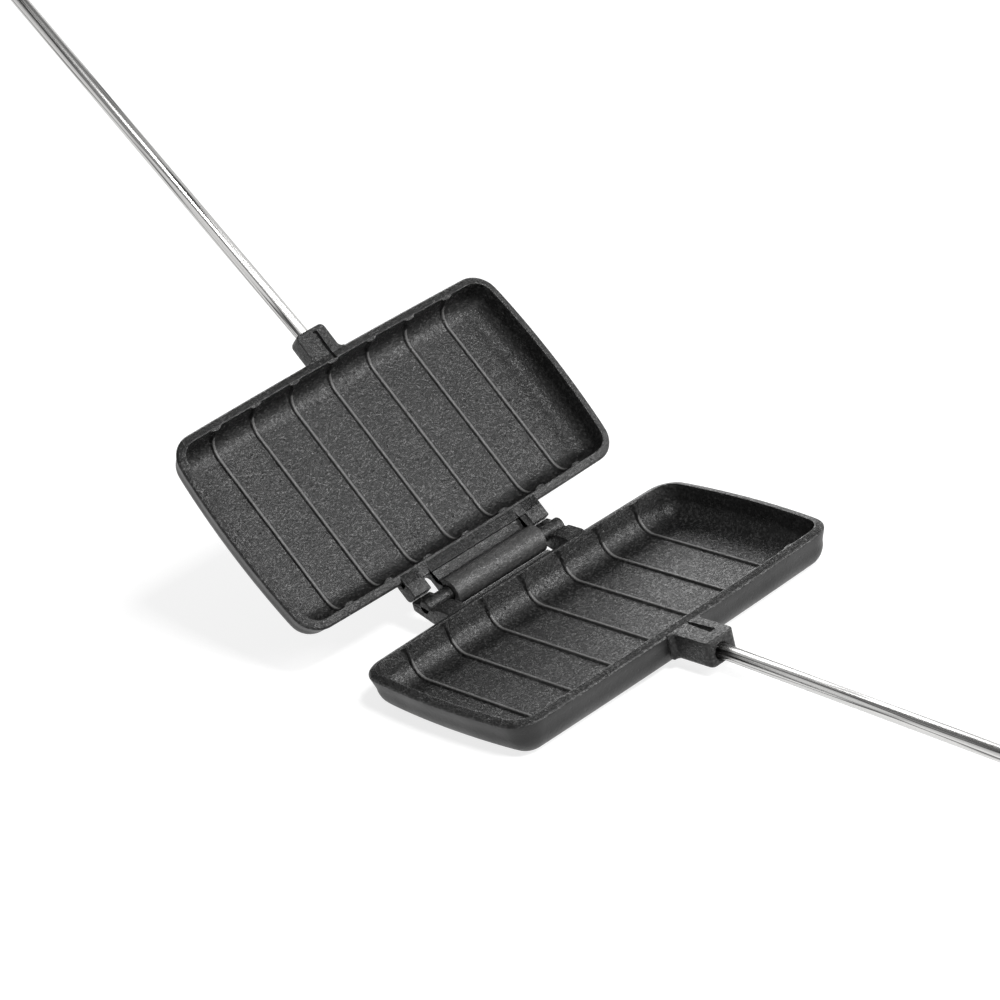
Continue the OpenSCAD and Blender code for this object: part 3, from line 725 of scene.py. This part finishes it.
def make_sand_cast_group():
    """Sand grain of a casting: round grains on wider lumps, with scattered pits, placed in millimetres."""
    group = bpy.data.node_groups.new("sand_cast_grain", "ShaderNodeTree")
    face = group.interface
    face.new_socket("Place", in_out="INPUT", socket_type="NodeSocketVector")
    face.new_socket("Grain size", in_out="INPUT", socket_type="NodeSocketFloat")
    for label in ("Height", "Grain", "Patches"):
        face.new_socket(label, in_out="OUTPUT", socket_type="NodeSocketFloat")
    begin = group.nodes.new("NodeGroupInput")
    end = group.nodes.new("NodeGroupOutput")
    where = begin.outputs["Place"]
    per_mm = math_node(group, "DIVIDE", 1.0, begin.outputs["Grain size"])
    fine = noise(group, where, per_mm, 3.0, 0.75)
    sand = node(group, "TexVoronoi", {"Vector": where, "Scale": per_mm}, feature="F1")
    each = node(group, "SeparateColor", {0: sand.outputs["Color"]}).outputs[0]
    grain = mix_values(group, 0.22, fine, each)
    coarse = noise(group, where, math_node(group, "MULTIPLY", per_mm, 0.4), 1.0)
    round_tops = times_plus(group, sand.outputs["Distance"], -0.25, fine)
    lumps = times_plus(group, coarse, 0.6, round_tops)
    cells = node(group, "TexVoronoi", {"Vector": where, "Scale": 0.22}, feature="F1")
    pits = stretch(group, cells.outputs["Distance"], 0.10, 0.17, 1.0, 0.0)
    height = times_plus(group, pits, -0.7, lumps)
    patches = noise(group, where, 0.035, 3.0)
    group.links.new(height, end.inputs["Height"])
    group.links.new(grain, end.inputs["Grain"])
    group.links.new(patches, end.inputs["Patches"])
    return group


def rib_crest_highlight_mask(tree, own):
    """One along the crest of each rib, where a highlight is painted, nought elsewhere."""
    place = node(tree, "SeparateXYZ", {0: own})
    size = node(tree, "VectorMath", {0: own}, operation="ABSOLUTE").outputs[0]
    far = node(tree, "SeparateXYZ", {0: size})
    off = math_node(tree, "PINGPONG", place.outputs["Y"], RIB_PITCH / 2)
    crest = stretch(tree, off, 0.45, 0.95, 1.0, 0.0)
    across = math_node(tree, "LESS_THAN", far.outputs["X"], HALF_W - RIM_W - 3.0)
    along = math_node(tree, "LESS_THAN", far.outputs["Y"], (RIB_COUNT / 2) * RIB_PITCH)
    high = math_node(tree, "GREATER_THAN", place.outputs["Z"], FLOOR_T - 0.5)
    inside = math_node(tree, "MULTIPLY", math_node(tree, "MULTIPLY", across, along), high)
    return math_node(tree, "MULTIPLY", crest, inside)


def barrel_highlight_mask(tree, own):
    """One on the outside of the hook, where a highlight is painted, nought elsewhere."""
    place = node(tree, "SeparateXYZ", {0: own})
    back = math_node(tree, "LESS_THAN", place.outputs["X"], HINGE_X + HOOK_OUTER_R + 1.0)
    high = stretch(tree, place.outputs["Z"], OWN_AXIS_Z + 1.0, OWN_AXIS_Z + 5.0)
    return math_node(tree, "MULTIPLY", back, high)


def make_cast_iron(grain_group):
    """Seasoned cast iron: near black and oily, with a strong sand grain except on the outer walls. The
    grain's tone holds painted shade in its hollows and painted glints on its tops.

    The hook's outside and the crests of the ribs get a paler grey, as painted highlights."""
    material, tree, shader = new_material("seasoned_cast_iron")
    own = own_place(tree)
    grain = tree.nodes.new("ShaderNodeGroup")
    grain.node_tree = grain_group
    tree.links.new(own, grain.inputs["Place"])
    grain.inputs["Grain size"].default_value = GRAIN_MM
    smooth = node(tree, "Attribute", attribute_name="smooth_skin").outputs["Fac"]
    barrel_highlight_share = barrel_highlight_mask(tree, own)

    # Painted shade and painted glints: the grain's tone, which also differs at random from grain to grain, is
    # darkest in the hollows of the bump and palest on its tops.
    painted_shade_hollows, sides, painted_glint_tops = (0.004, 0.004, 0.004), (0.022, 0.022, 0.0218), (0.100, 0.0994, 0.0986)
    tone = ramp(tree, grain.outputs["Grain"], [(0.40, painted_shade_hollows), (0.53, sides), (0.64, painted_glint_tops)])
    patches = ramp(tree, grain.outputs["Patches"], [(0.35, 0.35), (0.65, 0.5)])
    # Painted highlight on the outside of the hook's barrel: there the tone is lifted, then drawn towards a
    # paler grey.
    patches_and_barrel_highlight = mix_colours(tree, barrel_highlight_share, patches, grey(1.4))
    sanded = mix_colours(tree, 1.0, tone, patches_and_barrel_highlight, "MULTIPLY")
    barrel_highlight_grey, crest_highlight_grey = (0.046, 0.0457, 0.0453, 1.0), (0.105, 0.104, 0.103, 1.0)
    with_barrel_highlight = mix_colours(tree, math_node(tree, "MULTIPLY", barrel_highlight_share, 0.65), sanded, barrel_highlight_grey)
    skin = ramp(tree, grain.outputs["Patches"], [(0.35, 0.009), (0.65, 0.018)])
    walled = mix_colours(tree, smooth, with_barrel_highlight, skin)
    # Painted highlight: a paler grey along the crest of each rib.
    colour = mix_colours(tree, rib_crest_highlight_mask(tree, own), walled, crest_highlight_grey)

    sand_rough = ramp(tree, grain.outputs["Grain"], [(0.42, 0.52), (0.58, 0.25)])
    skin_rough = ramp(tree, grain.outputs["Patches"], [(0.35, 0.46), (0.65, 0.37)])
    rough = mix_values(tree, smooth, sand_rough, skin_rough)
    strength = stretch(tree, smooth, 0.0, 1.0, 1.0, 0.4)
    dress(tree, shader, colour, rough, grain.outputs["Height"], strength, 0.00036)
    shader.inputs["Specular IOR Level"].default_value = 0.36
    return material


def make_drawn_steel():
    """Bright drawn rod: long fine scratches and a few dark streaks run with it, on a slowly drifting tone."""
    material, tree, shader = new_material("bright_drawn_steel")
    own = own_place(tree)
    fine = noise(tree, scaled(tree, own, (0.02, 3.0, 3.0)), 1.0, 4.0, 0.7)
    wide = noise(tree, scaled(tree, own, (0.004, 0.6, 0.6)), 1.0, 2.0)
    lines = noise(tree, scaled(tree, own, (0.006, 0.42, 0.42)), 1.0, 1.0)
    tone = ramp(tree, wide, [(0.3, (0.50, 0.495, 0.49)), (0.7, (0.68, 0.675, 0.665))])
    streaks = ramp(tree, lines, [(0.44, 1.0), (0.49, 0.12), (0.52, 0.12), (0.57, 1.0)])
    colour = mix_colours(tree, 1.0, tone, streaks, "MULTIPLY")
    rough = ramp(tree, fine, [(0.3, 0.18), (0.7, 0.34)])
    dress(tree, shader, colour, rough, fine, 0.25, 0.00004)
    shader.inputs["Metallic"].default_value = 1.0
    return material


def make_fitting_steel():
    """Satin steel of the small fittings: even fine scratches and slightly uneven sheen."""
    material, tree, shader = new_material("satin_fitting_steel")
    place = scaled(tree, node(tree, "TexCoord").outputs["Object"], (1000.0,) * 3)
    fine = noise(tree, place, 2.2, 4.0, 0.65)
    cloud = noise(tree, place, 0.12, 2.0)
    colour = ramp(tree, cloud, [(0.3, (0.40, 0.395, 0.385)), (0.7, (0.56, 0.555, 0.54))])
    rough = ramp(tree, fine, [(0.3, 0.26), (0.7, 0.44)])
    dress(tree, shader, colour, rough, fine, 0.3, 0.00003)
    shader.inputs["Metallic"].default_value = 1.0
    return material


def make_grip_wood():
    """Oiled beech: growth rings cut lengthwise, short dark flecks, and fine pores along the grain."""
    material, tree, shader = new_material("oiled_turned_beech")
    own = own_place(tree)
    warp = noise(tree, scaled(tree, own, (0.012, 0.06, 0.06)), 1.0, 2.0)
    sway = node(tree, "CombineXYZ", {"Y": math_node(tree, "MULTIPLY", warp, 5.0)}).outputs[0]
    drawn_out = scaled(tree, own, (0.03, 0.85, 0.25))
    ring_at = node(tree, "VectorMath", {0: drawn_out, 1: sway}, operation="ADD").outputs[0]
    rings = node(tree, "TexWave", {"Vector": ring_at, "Scale": 0.32, "Distortion": 1.2, "Detail": 2.0},
                 bands_direction="Y", wave_profile="SAW").outputs["Fac"]
    fleck = noise(tree, scaled(tree, own, (0.35, 2.4, 2.4)), 1.0, 3.0, 0.6)
    early, middle, late = (0.30, 0.155, 0.070), (0.43, 0.245, 0.120), (0.24, 0.115, 0.050)
    tone = ramp(tree, rings, [(0.0, early), (0.75, middle), (1.0, late)])
    spots = ramp(tree, fleck, [(0.36, 0.62), (0.5, 1.0)])
    colour = mix_colours(tree, 1.0, tone, spots, "MULTIPLY")
    rough = ramp(tree, fleck, [(0.35, 0.55), (0.6, 0.38)])
    dress(tree, shader, colour, rough, fleck, 0.35, 0.00008)
    return material


# ---------------------------------------------------------------- camera, floor and light

def make_camera():
    """Camera solved from the outlines of both rims, the ribs, the sockets and the rods.

    Its focal length and the place of the base's centre are in pixels of a square image."""
    image_side, sensor = 1000.0, 36.0
    turn, rise, roll = math.radians(54.115), math.radians(25.333), math.radians(-14.424)
    distance, focus = 1.9082, 3670.94
    base_x, base_y = 606.50, 633.01
    side = Vector((math.cos(turn), math.sin(turn), 0))
    back = Vector((math.sin(turn) * math.cos(rise), -math.cos(turn) * math.cos(rise), math.sin(rise)))
    up = back.cross(side)
    right = side * math.cos(roll) + up * math.sin(roll)
    top = up * math.cos(roll) - side * math.sin(roll)
    off_x = (base_x - image_side / 2) / focus * distance
    off_y = (image_side / 2 - base_y) / focus * distance
    spot = back * distance - right * off_x - top * off_y
    data = bpy.data.cameras.new("camera")
    data.sensor_width = sensor
    data.lens = focus * sensor / image_side
    data.clip_end = 20.0
    camera = bpy.data.objects.new("camera", data)
    turned = Matrix((right, top, back)).transposed().to_4x4()
    camera.matrix_world = Matrix.Translation(spot) @ turned
    bpy.context.scene.collection.objects.link(camera)
    bpy.context.scene.camera = camera


def seen_directly(tree):
    """One for camera, mirror and see-through rays, nought for the rays that light the object."""
    path = tree.nodes.new("ShaderNodeLightPath")
    first = math_node(tree, "MAXIMUM", path.outputs["Is Camera Ray"], path.outputs["Is Glossy Ray"])
    return math_node(tree, "MAXIMUM", first, path.outputs["Is Transmission Ray"])


def make_floor():
    """White floor: plain to the rays that light the object; seen directly, a soft lit tone and a glow."""
    material = bpy.data.materials.new("white_floor")
    material.use_nodes = True
    tree = material.node_tree
    tree.nodes.clear()
    plain = node(tree, "BsdfDiffuse", {"Color": grey(0.80)})
    soft = node(tree, "BsdfDiffuse", {"Color": grey(0.34)})
    bright = node(tree, "Emission", {"Strength": 0.79})
    both = node(tree, "AddShader", {0: soft.outputs[0], 1: bright.outputs[0]})
    mix = node(tree, "MixShader", {0: seen_directly(tree), 1: plain.outputs[0], 2: both.outputs[0]})
    node(tree, "OutputMaterial", {"Surface": mix.outputs[0]})
    reach = np.array([-6.0, 6.0])
    x, y = np.meshgrid(reach, reach, indexing="ij")
    points, faces = shell(np.stack([x, y, np.zeros_like(x)], -1), ring=False)
    mesh = bpy.data.meshes.new("floor")
    mesh.from_pydata(points.tolist(), [], faces.tolist())
    mesh.materials.append(material)
    floor = bpy.data.objects.new("floor", mesh)
    bpy.context.scene.collection.objects.link(floor)


def make_world():
    """White all round and dim overhead when seen directly or in metal; a weak even fill as light."""
    world = bpy.data.worlds.new("studio")
    bpy.context.scene.world = world
    world.use_nodes = True
    tree = world.node_tree
    tree.nodes.clear()
    way = node(tree, "TexCoord").outputs["Object"]
    rise = node(tree, "SeparateXYZ", {0: way}).outputs["Z"]
    white_to, dim_from = 0.40, 0.62
    round_about = stretch(tree, rise, white_to, dim_from, 1.0, 0.12)
    fill = node(tree, "Background", {"Color": grey(1.0), "Strength": 0.12})
    white = node(tree, "Background", {"Color": grey(1.0), "Strength": round_about})
    mix = node(tree, "MixShader", {0: seen_directly(tree), 1: fill.outputs[0], 2: white.outputs[0]})
    node(tree, "OutputWorld", {"Surface": mix.outputs[0]})


def make_lamp(name, spot, side, power):
    """Soft square lamp that faces the middle of the pans."""
    data = bpy.data.lights.new(name, "AREA")
    data.shape = "RECTANGLE"
    data.size = side
    data.size_y = side
    data.energy = power
    lamp = bpy.data.objects.new(name, data)
    lamp.location = spot
    lamp.rotation_euler = (Vector(LAMP_AIM) - Vector(spot)).to_track_quat("-Z", "Y").to_euler()
    bpy.context.scene.collection.objects.link(lamp)


# ---------------------------------------------------------------- the iron

make_camera()
make_world()
make_floor()
for lamp_row in LAMPS:
    make_lamp(*lamp_row)
bpy.context.scene.view_settings.view_transform = "Standard"

cast_iron = make_cast_iron(make_sand_cast_group())
drawn_steel = make_drawn_steel()
fitting_steel = make_fitting_steel()
grip_wood = make_grip_wood()

HALVES = (
    ("lower", in_pan, pan_shells(LOWER_RIM_CUT) + socket_shells(*LOWER_SOCKET) + lug_shells()),
    ("upper", in_upper, pan_shells(UPPER_RIM_CUT) + socket_shells(*UPPER_SOCKET) + hook_shells()))
ON_ROD = (
    ("_drawn_rod", [shell(lathe(rod_line()))], "_rod", "rod_steel", drawn_steel),
    ("_cross_pin", pin_shells(), "_rod_pin", "fitting_steel", fitting_steel),
    ("_cup_ferrule", [shell(lathe(ferrule_line(), closed=True))], "_ferrule", "fitting_steel", fitting_steel),
    ("_turned_grip", [shell(lathe(grip_line(), closed=True))], "_grip", "grip_wood", grip_wood),
    ("_end_washer", [shell(lathe(washer_line(), closed=True))], "_grip_washer", "fitting_steel",
     fitting_steel),
    ("_end_nut", nut_shells(), "_grip_nut", "fitting_steel", fitting_steel))
for half, place, casting in HALVES:
    body = half + "_half"

    def on_rod(points, place=place):
        return place(along_rod(points))

    make_piece(half + "_casting", casting, place, body, [half + "_pan"], cast_iron)
    for name, shells, part, slot, finish in ON_ROD:
        make_piece(half + name, shells, on_rod, body, [half + part], finish)

for name in ("latch_hook", "latch_screw", "latch_washer", "latch_catch"):
    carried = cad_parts[name]
    for holder in carried.material_slots:
        holder.material = fitting_steel
